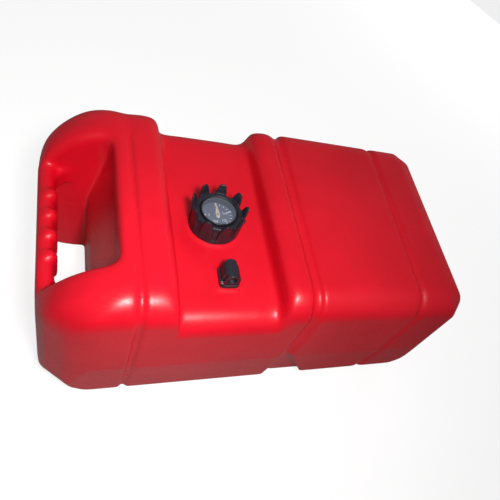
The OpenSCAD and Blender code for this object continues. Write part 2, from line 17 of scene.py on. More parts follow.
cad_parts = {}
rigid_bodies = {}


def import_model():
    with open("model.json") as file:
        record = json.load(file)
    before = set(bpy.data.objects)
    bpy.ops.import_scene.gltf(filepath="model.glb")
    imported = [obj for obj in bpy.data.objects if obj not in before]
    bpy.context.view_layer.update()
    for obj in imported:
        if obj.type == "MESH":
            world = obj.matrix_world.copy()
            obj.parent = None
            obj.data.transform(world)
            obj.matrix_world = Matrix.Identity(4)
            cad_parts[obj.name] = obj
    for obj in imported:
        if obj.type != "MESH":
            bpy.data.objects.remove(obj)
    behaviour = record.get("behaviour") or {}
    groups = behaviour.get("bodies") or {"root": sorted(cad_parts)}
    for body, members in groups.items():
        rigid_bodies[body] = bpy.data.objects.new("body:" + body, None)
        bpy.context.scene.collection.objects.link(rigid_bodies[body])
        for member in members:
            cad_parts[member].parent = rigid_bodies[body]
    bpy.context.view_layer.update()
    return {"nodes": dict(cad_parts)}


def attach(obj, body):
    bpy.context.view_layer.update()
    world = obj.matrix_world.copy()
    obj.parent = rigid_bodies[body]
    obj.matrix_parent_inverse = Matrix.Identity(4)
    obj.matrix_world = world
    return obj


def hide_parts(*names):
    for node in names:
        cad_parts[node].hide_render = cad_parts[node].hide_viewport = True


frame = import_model()
NODES = frame["nodes"]

MM = 0.001
FILLER = Vector((-96, -14, 0)) * MM          # axis of the neck, the cap and the gauge
FITTING = Vector((-89, -107, 0)) * MM        # axis of the withdrawal fitting
SCREW_OFFSET = Vector((10.3, 10.5, 0)) * MM  # each screw, from that axis, at opposite corners
DECK_Z = 235 * MM
PAD_Z = 237 * MM                             # top of the raised pads in the deck
NECK_TOP_Z = 261 * MM
NECK_BORE_R = 27 * MM

# %% [markdown]
# ## Camera
# The photograph looks down on the left front corner from quite close, so it shows strong perspective. The
# focal length and the camera's place were worked out from the long straight edges of the tank. The centre
# of the perspective isn't the centre of the picture, which is why the lens needs a small shift.

# %% Camera
PHOTO_SIDE = 500
FOCAL_PX = 506.7
CENTRE_PX = (346.75, 281.42)

camera_data = bpy.data.cameras.new("photo_camera")
camera_data.sensor_width = 36
camera_data.lens = FOCAL_PX * camera_data.sensor_width / PHOTO_SIDE
camera_data.shift_x = (PHOTO_SIDE / 2 - CENTRE_PX[0]) / PHOTO_SIDE
camera_data.shift_y = (CENTRE_PX[1] - PHOTO_SIDE / 2) / PHOTO_SIDE
camera = bpy.data.objects.new("photo_camera", camera_data)
camera.location = (-0.29598, -0.47171, 0.82838)
camera.rotation_euler = [math.radians(a) for a in (35.043, -25.248, -16.353)]
bpy.context.scene.collection.objects.link(camera)
bpy.context.scene.camera = camera
print("lens", round(camera_data.lens, 2), "mm, shift", camera_data.shift_x, camera_data.shift_y)

# %% [markdown]
# ## Small helpers
# Operators act on whatever is selected and active, so each helper first makes exactly one object active.
# `start` adds a primitive while nothing else is selected. `tool` adds a modifier and applies it at once, as
# pressing Apply does. `place_in_mesh` moves an object's place, turn and size into its mesh, so that the
# finished piece sits at the origin like a CAD part.

# %% Helpers for selecting and editing
def activate(obj):
    if bpy.context.object and bpy.context.object.mode != "OBJECT":
        bpy.ops.object.mode_set(mode="OBJECT")
    bpy.ops.object.select_all(action="DESELECT")
    obj.select_set(True)
    bpy.context.view_layer.objects.active = obj


def edit(obj, select_mode="FACE", select="DESELECT"):
    activate(obj)
    bpy.ops.object.mode_set(mode="EDIT")
    bpy.ops.mesh.select_mode(type=select_mode)
    bpy.ops.mesh.select_all(action=select)


def leave_edit():
    bpy.ops.object.mode_set(mode="OBJECT")


def select_where(obj, test, kind="faces"):
    """Select only those faces, or verts, whose middle passes the test."""
    bm = bmesh.from_edit_mesh(obj.data)
    items = getattr(bm, kind)
    for item in items:
        item.select_set(False)
    for item in items:
        if test(item.co if kind == "verts" else item.calc_center_median()):
            item.select_set(True)
    bmesh.update_edit_mesh(obj.data)
    return sum(item.select for item in items)


# %% Helpers for adding and joining
def start(name, primitive, **settings):
    bpy.ops.object.select_all(action="DESELECT")
    primitive(**settings)
    obj = bpy.context.object
    obj.name = name
    return obj


def place_in_mesh(obj):
    activate(obj)
    bpy.ops.object.transform_apply(location=True, rotation=True, scale=True)
    return obj


def merge(obj, *others):
    """Join the others into obj, as they are."""
    activate(obj)
    for other in others:
        other.select_set(True)
    bpy.ops.object.join()
    return obj


def count(obj):
    triangles = sum(len(p.vertices) - 2 for p in obj.data.polygons)
    print(obj.name, triangles, "triangles")
    return obj


# %% Helpers for modifiers and shading
def tool(obj, kind, **settings):
    activate(obj)
    modifier = obj.modifiers.new(kind.lower(), kind)
    for name, value in settings.items():
        setattr(modifier, name, value)
    bpy.ops.object.modifier_apply(modifier=modifier.name)


def cut(obj, cutter):
    tool(obj, "BOOLEAN", operation="DIFFERENCE", solver="MANIFOLD", object=cutter)
    bpy.data.objects.remove(cutter)


def weld(obj, addition):
    tool(obj, "BOOLEAN", operation="UNION", solver="MANIFOLD", object=addition)
    bpy.data.objects.remove(addition)


def smooth_shading(obj, degrees):
    activate(obj)
    bpy.ops.object.shade_smooth_by_angle(angle=math.radians(degrees))


# %% [markdown]
# ## The tank shell, step 1: take the CAD skin apart
# The real tank is blown in one piece, so it has no sharp edge anywhere: even the lines of the grooves are
# a few millimetres round. Those soft edges could be modelled with subdivision surfaces, but the exact
# size of the tank is in the CAD mesh, so the safest way is to start from a copy of it and soften that.
# The copy is one skin that runs in through the neck. Cutting away the walls of the openings splits it
# into the outside and the inside, and each is closed again with a flat face.

# %% Copy of the CAD shell
def copy_of(node_name, piece_name):
    piece = bpy.data.objects.new(piece_name, NODES[node_name].data.copy())
    bpy.context.scene.collection.objects.link(piece)
    edit(piece, "VERT", "SELECT")
    bpy.ops.mesh.remove_doubles(threshold=2e-6)
    leave_edit()
    return count(piece)


shell = copy_of("tank_shell", "shell")

# %% Split it into outside and inside
HOLE_R = 8.8 * MM
INSERT_R = 3.4 * MM
BESIDE, UNDER_RIM = 0.15 * MM, 0.05 * MM     # slack round an opening's radius and below its rim
OPENINGS = [(FILLER, NECK_BORE_R, DECK_Z - 4.9 * MM, NECK_TOP_Z),
            (FITTING, HOLE_R, DECK_Z - 10 * MM, PAD_Z)]
OPENINGS += [(FITTING + side * SCREW_OFFSET, INSERT_R, DECK_Z - 10 * MM, PAD_Z) for side in (1, -1)]


def in_opening(point, axis, radius, low, rim):
    reach = math.hypot(point.x - axis.x, point.y - axis.y)
    return reach < radius + BESIDE and low < point.z < rim - UNDER_RIM


edit(shell)
walls = select_where(shell, lambda p: any(in_opening(p, *opening) for opening in OPENINGS))
bpy.ops.mesh.delete(type="FACE")
bpy.ops.mesh.select_mode(type="EDGE")
bpy.ops.mesh.select_all(action="SELECT")
bpy.ops.mesh.fill_holes(sides=0)
bpy.ops.mesh.quads_convert_to_tris()
bpy.ops.mesh.separate(type="LOOSE")
leave_edit()
skins = [o for o in bpy.context.scene.objects if o.name.startswith("shell")]
skins.sort(key=lambda skin: -max(v.co.x for v in skin.data.vertices))
shell, cavity = skins
shell.name, cavity.name = "shell", "cavity"
print(walls, "wall faces of the openings; skins reach", [round(s.dimensions.x, 4) for s in skins])

# %% [markdown]
# ## The tank shell, step 2: soften it
# A voxel remesh turns each skin into an even net of small squares, and the Smooth modifier then rounds
# every edge by about the size of a few squares. Places that are rounder on the real tank get more of it
# through a vertex group, like a soft brush: the corners and the back top edge of the handle end, the rim
# of the hand opening, the ridges of the grip, the ends of the two steps, the step up to the right block,
# the middle groove and the far groove, which is hardly more than a line.

# %% Voxel net and overall smoothing
FINE_NET, COARSE_NET = 2 * MM, 3.2 * MM
NET = {shell: FINE_NET, cavity: COARSE_NET}
ALL_OVER = 14


def smooth(obj, amount, **settings):
    """Smooth by the same width on both nets: a coarse one needs fewer rounds."""
    rounds = max(round(amount * (FINE_NET / NET[obj]) ** 2), 1)
    tool(obj, "SMOOTH", factor=0.5, iterations=rounds, **settings)


for skin in (shell, cavity):
    edit(skin, "FACE", "SELECT")
    bpy.ops.mesh.normals_make_consistent(inside=False)
    leave_edit()
    tool(skin, "REMESH", mode="VOXEL", voxel_size=NET[skin], use_smooth_shade=True)
    smooth(skin, ALL_OVER)
    count(skin)


# %% A soft brush
def fade(value, start_at, end_at):
    """1 up to start_at, falling smoothly to 0 at end_at."""
    t = min(max((value - start_at) / (end_at - start_at), 0), 1)
    return 1 - t * t * (3 - 2 * t)


def brush(obj, name, weight_at):
    group = obj.vertex_groups.new(name=name)
    touched = 0
    for vertex in obj.data.vertices:
        weight = weight_at(vertex.co)
        if weight > 0.01:
            group.add([vertex.index], min(weight, 1), "REPLACE")
            touched += 1
    print(name, touched, "vertices")
    return name


def on_side_of(p, x, y, z):
    """The point (x, y, z), or its mirror image at the front when p is there."""
    return Vector((x, math.copysign(y, p.y), z))


# %% Softer places of the handle end, in metres
HANDLE_CORNER = (-0.29, 0.15, 0.245)
BACK_EDGE_Y, BACK_EDGE_Z = 0.175, 0.262
HAND_X, HAND_Y = -0.229, 0.105               # where the sides of the hand opening turn into its round end


def near_corners(p):
    """The corners of the handle end, top and bottom."""
    return fade((p - on_side_of(p, *HANDLE_CORNER)).length, 0.03, 0.1)


def near_back_edge(p):
    """The back top edge of the handle end, down to the end of its step."""
    reach = math.hypot(p.y - BACK_EDGE_Y, p.z - BACK_EDGE_Z)
    return fade(reach, 0.03, 0.08) * fade(p.x, -0.19, -0.12)


def near_hand_rim(p):
    """The rim of the hand opening, at the right and along both arms."""
    over = fade(p.z, 0.24, 0.21)
    if p.x < HAND_X:
        away = abs(abs(p.y) - HAND_Y)
    else:
        away = math.hypot(p.x - HAND_X, max(abs(p.y) - HAND_Y, 0))
    return over * fade(away, 0.012, 0.02)


def near_bar(p):
    """The grip ridges of the bar."""
    return 0.9 * fade(abs(p.y), 0.07, 0.09) * fade(p.x, -0.3, -0.285) * fade(p.z, 0.175, 0.15)


# %% Softer places of the steps and grooves, in metres
STEP_ENDS = ((-0.161, 0.16, 0.262), (-0.02, 0.16, 0.262))
RIGHT_STEP_X, RIGHT_STEP_Z = -0.025, 0.249
MIDDLE_GROOVE_X, FAR_GROOVE_X = 0.027, 0.212


def near_step_ends(p):
    """Where the steps of the two blocks meet the long top edges, wider at the back."""
    near, far = (0.02, 0.06) if p.y > 0 else (0.01, 0.035)
    return max(fade((p - on_side_of(p, *end)).length, near, far) for end in STEP_ENDS)


def near_right_step(p):
    """The step up from the deck to the right block, which rolls over softly."""
    return fade(math.hypot(p.x - RIGHT_STEP_X, p.z - RIGHT_STEP_Z), 0.02, 0.036)


def near_middle_groove(p):
    return fade(abs(p.x - MIDDLE_GROOVE_X), 0.011, 0.018)


def near_far_groove(p):
    return 0.8 * fade(abs(p.x - FAR_GROOVE_X), 0.008, 0.02)


# %% Soften them, one brush after the other
SOFTER = (("handle_corners", near_corners, 160), ("step_ends", near_step_ends, 150),
          ("back_edge", near_back_edge, 240), ("hand_rim", near_hand_rim, 150),
          ("right_step", near_right_step, 130), ("middle_groove", near_middle_groove, 18),
          ("far_groove", near_far_groove, 24))

for skin in (shell, cavity):
    for name, weight_at, amount in SOFTER:
        smooth(skin, amount, vertex_group=brush(skin, name, weight_at))
smooth(shell, 22, vertex_group=brush(shell, "grip_bar", near_bar))

# %% Thin the nets where they are flat
tool(shell, "DECIMATE", ratio=0.25)
tool(cavity, "DECIMATE", ratio=0.2)
count(shell)
count(cavity)

# %% [markdown]
# ## The tank shell, step 3: hollow it again
# The inside skin, softened in the same way, is a solid block of the room inside the tank. Taking that
# block away leaves the wall. Cylinders then bore the neck, the hole of the dip tube and the two blind
# holes that hold the brass inserts.

# %% Hollow and bore
def cylinder(name, axis, radius, low, high, sides=96):
    return place_in_mesh(start(
        name, bpy.ops.mesh.primitive_cylinder_add, vertices=sides, radius=radius, depth=high - low,
        location=(axis.x, axis.y, (low + high) / 2)))


cut(shell, cavity)
cut(shell, cylinder("neck_bore", FILLER, NECK_BORE_R, DECK_Z - 8 * MM, NECK_TOP_Z + 5 * MM))
cut(shell, cylinder("tube_hole", FITTING, HOLE_R, DECK_Z - 12 * MM, PAD_Z + 3 * MM, 64))
for side in (1, -1):
    cut(shell, cylinder("insert_hole", FITTING + side * SCREW_OFFSET, INSERT_R,
                        PAD_Z - 11 * MM, PAD_Z + 3 * MM, 48))
smooth_shading(shell, 40)
count(shell)

# %% [markdown]
# ## Turned parts
# The cap, the thread rings of the neck, the screws and the thread of the port are all round an axis. By
# hand such a part is made from a circle whose edge is extruded and scaled again and again along the
# profile, like turning it on a lathe. One helper does that for any list of (radius, height) steps in
# millimetres, so each part is only its profile. Another copies a part round an axis.

# %% Helpers for turned parts
def turned(name, axis, profile, sides=96, closed=False):
    """A circle, extruded and scaled through the profile's (radius, z) steps."""
    radius, z = (v * MM for v in profile[0])
    obj = place_in_mesh(start(
        name, bpy.ops.mesh.primitive_circle_add, vertices=sides, radius=radius,
        location=(axis.x, axis.y, z)))
    edit(obj, "EDGE", "SELECT")
    steps = profile[1:] + profile[:1] if closed else profile[1:]
    if not closed:
        bpy.ops.mesh.edge_face_add()
    for next_radius, next_z in ((r * MM, h * MM) for r, h in steps):
        bpy.ops.mesh.extrude_edges_move(TRANSFORM_OT_translate={"value": (0, 0, next_z - z)})
        scale = next_radius / radius
        bpy.ops.transform.resize(value=(scale, scale, 1), center_override=(axis.x, axis.y, next_z))
        radius, z = next_radius, next_z
    if not closed:
        bpy.ops.mesh.edge_face_add()
    bpy.ops.mesh.select_all(action="SELECT")
    bpy.ops.mesh.remove_doubles(threshold=1e-6)
    bpy.ops.mesh.normals_make_consistent(inside=False)
    leave_edit()
    return obj


def copies_round(obj, axis, turns):
    """Copies of obj, each with its own mesh, turned about an upright axis and joined into one object."""
    made = []
    for i, degrees in enumerate(turns):
        twin = bpy.data.objects.new(f"{obj.name}_{i}", obj.data.copy())
        bpy.context.scene.collection.objects.link(twin)
        turn = Matrix.Rotation(math.radians(degrees), 4, "Z")
        twin.matrix_world = Matrix.Translation(axis) @ turn @ Matrix.Translation(-axis)
        made.append(place_in_mesh(twin))
    merge(*made)
    bpy.data.objects.remove(obj)
    return made[0]


# %% [markdown]
# ## Thread of the neck
# The cap grips a coarse moulded thread on the neck, which shows when the gauge is lifted out. At this size
# its slope can't be seen, so it is four low rings, each turned from a three-step profile and welded on.

# %% Thread rings on the neck
RING_FEET_Z = (243.5, 248, 252.5, 257)
SUNK_R, NECK_R, CREST_R = 30.2, 31.0, 31.42  # inside the neck's wall, at its skin and at the crest

for z in RING_FEET_Z:
    weld(shell, turned("thread_ring", FILLER, [
        (SUNK_R, z), (NECK_R, z), (CREST_R, z + 0.7),
        (CREST_R, z + 1.3), (NECK_R, z + 2), (SUNK_R, z + 2)], closed=True))
smooth_shading(shell, 40)
count(shell)

# %% [markdown]
# ## Screw cap
# The cap is a black moulded ring with nine tall grip lugs, like a crown, and the gauge window looks out
# through its middle. The ring is turned. One lug is a cube that is drawn up to a narrower, thinner tip
# that leans outwards. Nine copies are welded on, and a fine voxel net with a little smoothing gives the
# soft inside corners that a moulding has.

# %% Ring of the cap
cap = turned("cap", FILLER, [
    (31.9, 239), (37, 239), (37.1, 239.6), (37.1, 243.6), (36.6, 244.4), (35.7, 245.4), (35.2, 248),
    (34.4, 262), (34.1, 267.6), (33.2, 269.1), (31.6, 269.4), (28, 269.4), (27.4, 268.8), (27.4, 266.3),
    (31.3, 266.2), (31.6, 265.8), (31.6, 239.4)], closed=True)
count(cap)

# %% One lug, and its copies
LUG_R, LUG_FOOT_Z, LUG_TIP_Z = 34.2 * MM, 244.5 * MM, 283.6 * MM
LUG_THICKNESS, LUG_WIDTH = 4.4 * MM, 17.5 * MM
LUG_COUNT, FIRST_LUG_DEGREES = 9, -3
LUG_SECTIONS = (  # height in millimetres, share of the width and of the thickness, lean in millimetres
    (254, 1, 1, 0.4), (264, 0.97, 1, 1.1), (271, 0.84, 0.9, 2.2), (278, 0.66, 0.8, 3.6),
    (283.6, 0.4, 0.62, 4.8))

lug = place_in_mesh(start(
    "lug", bpy.ops.mesh.primitive_cube_add, size=1,
    location=(FILLER.x + LUG_R, FILLER.y, (LUG_FOOT_Z + LUG_TIP_Z) / 2),
    scale=(LUG_THICKNESS, LUG_WIDTH, LUG_TIP_Z - LUG_FOOT_Z)))
for z, *_ in LUG_SECTIONS[:-1]:
    edit(lug, "FACE", "SELECT")
    bpy.ops.mesh.bisect(plane_co=(0, 0, z * MM), plane_no=(0, 0, 1))
    leave_edit()
for z, widen, thin, lean in LUG_SECTIONS:
    edit(lug, "VERT")
    select_where(lug, lambda p: abs(p.z - z * MM) < 0.1 * MM, "verts")
    middle = (FILLER.x + LUG_R, FILLER.y, z * MM)
    bpy.ops.transform.resize(value=(thin, widen, 1), center_override=middle)
    bpy.ops.transform.translate(value=(lean * MM, 0, 0))
    leave_edit()
tool(lug, "BEVEL", width=1.1 * MM, segments=3, limit_method="ANGLE", angle_limit=math.radians(40))
lugs = copies_round(lug, FILLER, [360 / LUG_COUNT * i + FIRST_LUG_DEGREES for i in range(LUG_COUNT)])
count(lugs)

# %% Weld and soften the cap
weld(cap, lugs)
tool(cap, "REMESH", mode="VOXEL", voxel_size=0.55 * MM, use_smooth_shade=True)
tool(cap, "SMOOTH", factor=0.5, iterations=4)
tool(cap, "DECIMATE", ratio=0.3)
smooth_shading(cap, 50)
count(cap)

# %% [markdown]
# ## Withdrawal fitting
# The fuel leaves through a small black elbow: a flat base with two screws, and a barrel that lies across
# it with the threaded hose port in its front end. Its CAD shape is right but has the crisp edges of CSG,
# so a copy is softened in the same way as the shell, with a finer net, and its barrel is swelled a little
# to the fuller shape of the real one. The port's thread is cut last, with a turned cutter whose profile is
# a zigzag, so that it stays crisp.

# %% Elbow, fuller and softer
BASE_TOP_Z = 243.6 * MM
PORT_MOUTH = Vector((-89, -121.5, 253.5)) * MM
FULLER = (1.15, 1.04, 1.07)

elbow = copy_of("pickup_body", "fuel_elbow")
tool(elbow, "REMESH", mode="VOXEL", voxel_size=0.5 * MM, use_smooth_shade=True)
edit(elbow, "VERT")
select_where(elbow, lambda p: p.z > BASE_TOP_Z, "verts")
bpy.ops.transform.resize(value=FULLER, center_override=(*PORT_MOUTH.xy, BASE_TOP_Z))
leave_edit()
tool(elbow, "SMOOTH", factor=0.5, iterations=16)
tool(elbow, "DECIMATE", ratio=0.35)

# %% Thread of the port
PORT_R, PORT_THREAD_R, PORT_PITCH = 5.62, 6.3, 1.41

zigzag = [(PORT_R, -1.5)]
for turn in range(6):
    zigzag += [(PORT_THREAD_R, -1.0 + turn * PORT_PITCH), (PORT_R, -0.3 + turn * PORT_PITCH)]
zigzag += [(PORT_R, 9.5)]
thread = turned("port_thread", Vector((0, 0, 0)), zigzag, sides=48)
thread.matrix_world = Matrix.Translation(PORT_MOUTH) @ Matrix.Rotation(math.radians(-90), 4, "X")
cut(elbow, place_in_mesh(thread))
smooth_shading(elbow, 40)
count(elbow)

# %% [markdown]
# ## Screws of the fitting
# Two stainless pan-head screws with a cross recess hold the fitting. One is turned, from its domed head
# down to a shank whose zigzag is the thread, the recess is cut with two crossed bars, and then it is copied
# to the other corner.

# %% Screws
HEAD_Z = 243.5
SHANK_R, ROOT_R, SCREW_PITCH = 1.9, 1.55, 1.25

screw_profile = [(0.2, HEAD_Z + 2.2), (1.6, HEAD_Z + 2.12), (2.6, HEAD_Z + 1.7), (3.1, HEAD_Z + 0.9),
                 (3.2, HEAD_Z + 0.3), (3.2, HEAD_Z), (SHANK_R, HEAD_Z - 0.1)]
for turn in range(11):
    screw_profile += [(SHANK_R, HEAD_Z - 1.4 - turn * SCREW_PITCH),
                      (ROOT_R, HEAD_Z - 1.95 - turn * SCREW_PITCH)]
screw_profile += [(1.2, HEAD_Z - 15.8), (0.2, HEAD_Z - 16)]
screw = turned("screw", FITTING + SCREW_OFFSET, screw_profile, sides=40)
for degrees in (30, 120):
    bar = start("recess_bar", bpy.ops.mesh.primitive_cube_add, size=1,
                location=FITTING + SCREW_OFFSET + Vector((0, 0, HEAD_Z + 2.2)) * MM,
                rotation=(0, 0, math.radians(degrees)), scale=(3.6 * MM, 0.9 * MM, 2.8 * MM))
    edit(bar)
    select_where(bar, lambda p: p.z < -0.4)
    bpy.ops.transform.resize(value=(0.4, 0.6, 1))
    leave_edit()
    cut(screw, place_in_mesh(bar))
screws = copies_round(screw, FITTING, (0, 180))
screws.name = "fitting_screws"
smooth_shading(screws, 35)
count(screws)

# %% [markdown]
# ## Marks on the dial
# The gauge turns through three quarters of a circle, from empty at the back to full at the left. A plain
# scale of printed strokes and numbers makes that readable. The print is modelled, a fifth of a millimetre
# high, because then it is sharp at any distance and needs no picture. Each stroke is one small bar, copied
# round the axis, and the numbers are text that is turned into a mesh.

# %% Strokes of the scale
DIAL_TOP, SCALE_R, NUMBERS_R = 259.4, 19.5, 12  # in millimetres
PRINT_Z = DIAL_TOP + 0.05
EMPTY_DEGREES, SWEEP_DEGREES = 90, 270


def dial_degrees(part):
    return EMPTY_DEGREES - SWEEP_DEGREES * part


def strokes(name, length, width, parts):
    bar = place_in_mesh(start(
        name, bpy.ops.mesh.primitive_cube_add, size=1,
        location=FILLER + Vector((SCALE_R, 0, PRINT_Z)) * MM, scale=(length * MM, width * MM, 0.3 * MM)))
    tool(bar, "BEVEL", width=0.1 * MM, segments=2, limit_method="ANGLE")
    return copies_round(bar, FILLER, [dial_degrees(part) for part in parts])


dial_marks = merge(strokes("main_stroke", 6, 2.4, [0, 0.25, 0.5, 0.75, 1]),
                   strokes("small_stroke", 3, 1, [i / 16 for i in range(17) if i % 4]))
dial_marks.name = "dial_marks"
count(dial_marks)

# %% Numbers of the scale
for part, words in ((0, "0"), (0.25, "1/4"), (0.5, "1/2"), (0.75, "3/4"), (1, "1")):
    angle = math.radians(dial_degrees(part))
    number = start("number", bpy.ops.object.text_add, location=FILLER + Vector(
        (NUMBERS_R * math.cos(angle), NUMBERS_R * math.sin(angle), PRINT_Z)) * MM)
    number.data.body = words
    number.data.size = 6 * MM
    number.data.offset = 0.12 * MM
    number.data.extrude = 0.14 * MM
    number.data.align_x = "CENTER"
    number.data.align_y = "CENTER"
    bpy.ops.object.convert(target="MESH")
    merge(dial_marks, place_in_mesh(bpy.context.object))
count(dial_marks)

# %% [markdown]
# ## Finishes
# Every finish is made of nodes, and reads the Object coordinates, so the patterns have their real size in
# metres everywhere. These helpers keep each recipe short: `finish` starts a Principled shader, `pattern`
# adds a noise of a given grain, `spread` stretches its values to a wanted range, `vary` lets it change the
# colour or the roughness a little, and `relief` stacks one bump on the next.

# %% Helpers for nodes
def principled(made):
    return made.node_tree.nodes["Principled BSDF"]


def finish(name, colour, rough, **sockets):
    made = bpy.data.materials.new(name)
    made.use_nodes = True
    shader = principled(made)
    shader.inputs["Base Color"].default_value = (*colour, 1)
    shader.inputs["Roughness"].default_value = rough
    for socket, value in sockets.items():
        shader.inputs[socket.replace("_", " ")].default_value = value
    return made


def add(made, kind, **settings):
    new = made.node_tree.nodes.new("ShaderNode" + kind)
    for name, value in settings.items():
        setattr(new, name, value)
    return new


def join(made, out, into):
    made.node_tree.links.new(out, into)


def combine(made, operation, *values):
    """A Math node whose values are sockets to join or plain numbers."""
    node = add(made, "Math", operation=operation)
    for value, socket in zip(values, node.inputs):
        if isinstance(value, (int, float)):
            socket.default_value = value
        else:
            join(made, value, socket)
    return node.outputs[0]


# %% Helpers for patterns
def pattern(made, grains_per_metre, detail=2, stretch=(1, 1, 1), cells=False):
    place = add(made, "TexCoord")
    mapping = add(made, "Mapping")
    mapping.inputs["Scale"].default_value = stretch
    texture = add(made, "TexVoronoi" if cells else "TexNoise")
    texture.inputs["Scale"].default_value = grains_per_metre
    texture.inputs["Detail"].default_value = detail
    join(made, place.outputs["Object"], mapping.inputs["Vector"])
    join(made, mapping.outputs["Vector"], texture.inputs["Vector"])
    return texture.outputs["Distance" if cells else "Fac"]


def spread(made, value, low, high, start_at=0.3, end_at=0.7):
    scale = add(made, "MapRange")
    for socket, number in zip(("From Min", "From Max", "To Min", "To Max"), (start_at, end_at, low, high)):
        scale.inputs[socket].default_value = number
    join(made, value, scale.inputs["Value"])
    return scale.outputs["Result"]


def vary(made, value, socket, low, high):
    target = principled(made).inputs[socket]
    if socket == "Base Color":
        mix = add(made, "Mix", data_type="RGBA")
        mix.inputs["A"].default_value = (*low, 1)
        mix.inputs["B"].default_value = (*high, 1)
        join(made, spread(made, value, 0, 1), mix.inputs["Factor"])
        join(made, mix.outputs["Result"], target)
    else:
        join(made, spread(made, value, low, high), target)


def relief(made, height, strength, millimetres):
    normal = principled(made).inputs["Normal"]
    bump = add(made, "Bump")
    bump.inputs["Strength"].default_value = strength
    bump.inputs["Distance"].default_value = millimetres * MM
    join(made, height, bump.inputs["Height"])
    if normal.links:
        join(made, normal.links[0].from_socket, bump.inputs["Normal"])
    join(made, bump.outputs["Normal"], normal)


# %% [markdown]
# ## Red polyethylene
# The shell is coloured all through. Blow moulding leaves a fine pebbled skin, long shallow waves where the
# hot plastic sagged, and a thin line all round where the two halves of the mould met. The right half of
# this tank is more matt than the handle end, so the roughness grows along X.

# %% Red shell finish
PARTING_Z = 0.117
LINE_CORE, LINE_EDGE = 0.0003, 0.0012        # distances from the parting line between which it fades
MATT_FROM_X, MATT_TO_X = 0.02, 0.14

red_shell = finish("red_shell", (0.74, 0.003, 0.017), 0.36, Specular_IOR_Level=0.42)
vary(red_shell, pattern(red_shell, 9, 3), "Base Color", (0.69, 0.0025, 0.015), (0.79, 0.004, 0.02))
relief(red_shell, pattern(red_shell, 26, 1), 0.35, 1.2)
relief(red_shell, pattern(red_shell, 900, 2), 0.22, 0.25)
place = add(red_shell, "TexCoord")
position = add(red_shell, "SeparateXYZ")
join(red_shell, place.outputs["Object"], position.inputs[0])
away = combine(red_shell, "ABSOLUTE", combine(red_shell, "SUBTRACT", position.outputs["Z"], PARTING_Z))
relief(red_shell, spread(red_shell, away, 1, 0, LINE_CORE, LINE_EDGE), 0.6, 0.3)
matt = spread(red_shell, position.outputs["X"], 0.36, 0.5, MATT_FROM_X, MATT_TO_X)
speckle = spread(red_shell, pattern(red_shell, 320, 2), -0.05, 0.05)
join(red_shell, combine(red_shell, "ADD", matt, speckle), principled(red_shell).inputs["Roughness"])
print("red_shell has", len(red_shell.node_tree.nodes), "nodes")

# %% [markdown]
# ## Black plastics and rubbers
# The cap, the housing and the fitting are injection moulded, with a satin skin that shows faint flow
# marks. The gaskets are softer and duller. All are a very dark grey, never pure black, as the real ones
# are.

# %% Black and grey finishes
black_plastic = finish("black_plastic", (0.014, 0.013, 0.021), 0.4)
vary(black_plastic, pattern(black_plastic, 60, 3), "Base Color",
     (0.010, 0.009, 0.016), (0.019, 0.018, 0.028))
vary(black_plastic, pattern(black_plastic, 180, 3), "Roughness", 0.34, 0.48)
relief(black_plastic, pattern(black_plastic, 1400, 2), 0.15, 0.12)

black_rubber = finish("black_rubber", (0.02, 0.02, 0.02), 0.7)
vary(black_rubber, pattern(black_rubber, 120, 3), "Base Color", (0.014, 0.014, 0.014), (0.03, 0.03, 0.03))
relief(black_rubber, pattern(black_rubber, 900, 3), 0.3, 0.15)

grey_rubber = finish("grey_rubber", (0.11, 0.11, 0.115), 0.65)
vary(grey_rubber, pattern(grey_rubber, 150, 3), "Base Color", (0.09, 0.09, 0.095), (0.14, 0.14, 0.145))
relief(grey_rubber, pattern(grey_rubber, 900, 3), 0.25, 0.12)

# %% [markdown]
# ## Gauge finishes
# The dial is dark blue-grey with white print, and the pointer is a pale peach, as if the sun had bleached
# it. The window is clear acrylic, slightly hazy with age. It is made see-through with alpha rather than as
# refracting glass, because then the lamp reaches the dial through it, also in viewers that can't bend
# light.

# %% Dial, print, pointer and window
dial_plastic = finish("dial_plastic", (0.09, 0.105, 0.15), 0.5)
vary(dial_plastic, pattern(dial_plastic, 90, 3), "Base Color", (0.075, 0.088, 0.125), (0.11, 0.125, 0.175))
relief(dial_plastic, pattern(dial_plastic, 1200, 2), 0.15, 0.08)

dial_print = finish("dial_print", (0.75, 0.75, 0.78), 0.45)
vary(dial_print, pattern(dial_print, 500, 3), "Base Color", (0.66, 0.66, 0.7), (0.82, 0.82, 0.85))
relief(dial_print, pattern(dial_print, 2500, 2), 0.2, 0.05)

pointer_orange = finish("pointer_orange", (0.75, 0.6, 0.5), 0.4)
vary(pointer_orange, pattern(pointer_orange, 300, 2), "Base Color", (0.72, 0.52, 0.4), (0.8, 0.68, 0.6))
relief(pointer_orange, pattern(pointer_orange, 1500, 2), 0.15, 0.06)

clear_window = finish("clear_window", (0.3, 0.33, 0.42), 0.08, Alpha=0.16, Specular_IOR_Level=0.6)
vary(clear_window, pattern(clear_window, 110, 4), "Roughness", 0.05, 0.13)
relief(clear_window, pattern(clear_window, 40, 2), 0.12, 0.5)

# %% [markdown]
# ## Metals
# The screws, rods and strip are stainless steel, drawn or rolled, so their fine scratches run along the
# part: the noise is stretched along Z. The inserts and the crimped ring are turned brass, a little
# tarnished.

# %% Steel and brass
bright_steel = finish("bright_steel", (0.62, 0.61, 0.59), 0.28, Metallic=1)
vary(bright_steel, pattern(bright_steel, 1500, 3, (1, 1, 0.04)), "Roughness", 0.2, 0.38)
vary(bright_steel, pattern(bright_steel, 70, 3), "Base Color", (0.55, 0.54, 0.52), (0.68, 0.67, 0.65))
relief(bright_steel, pattern(bright_steel, 2000, 2, (1, 1, 0.05)), 0.12, 0.05)

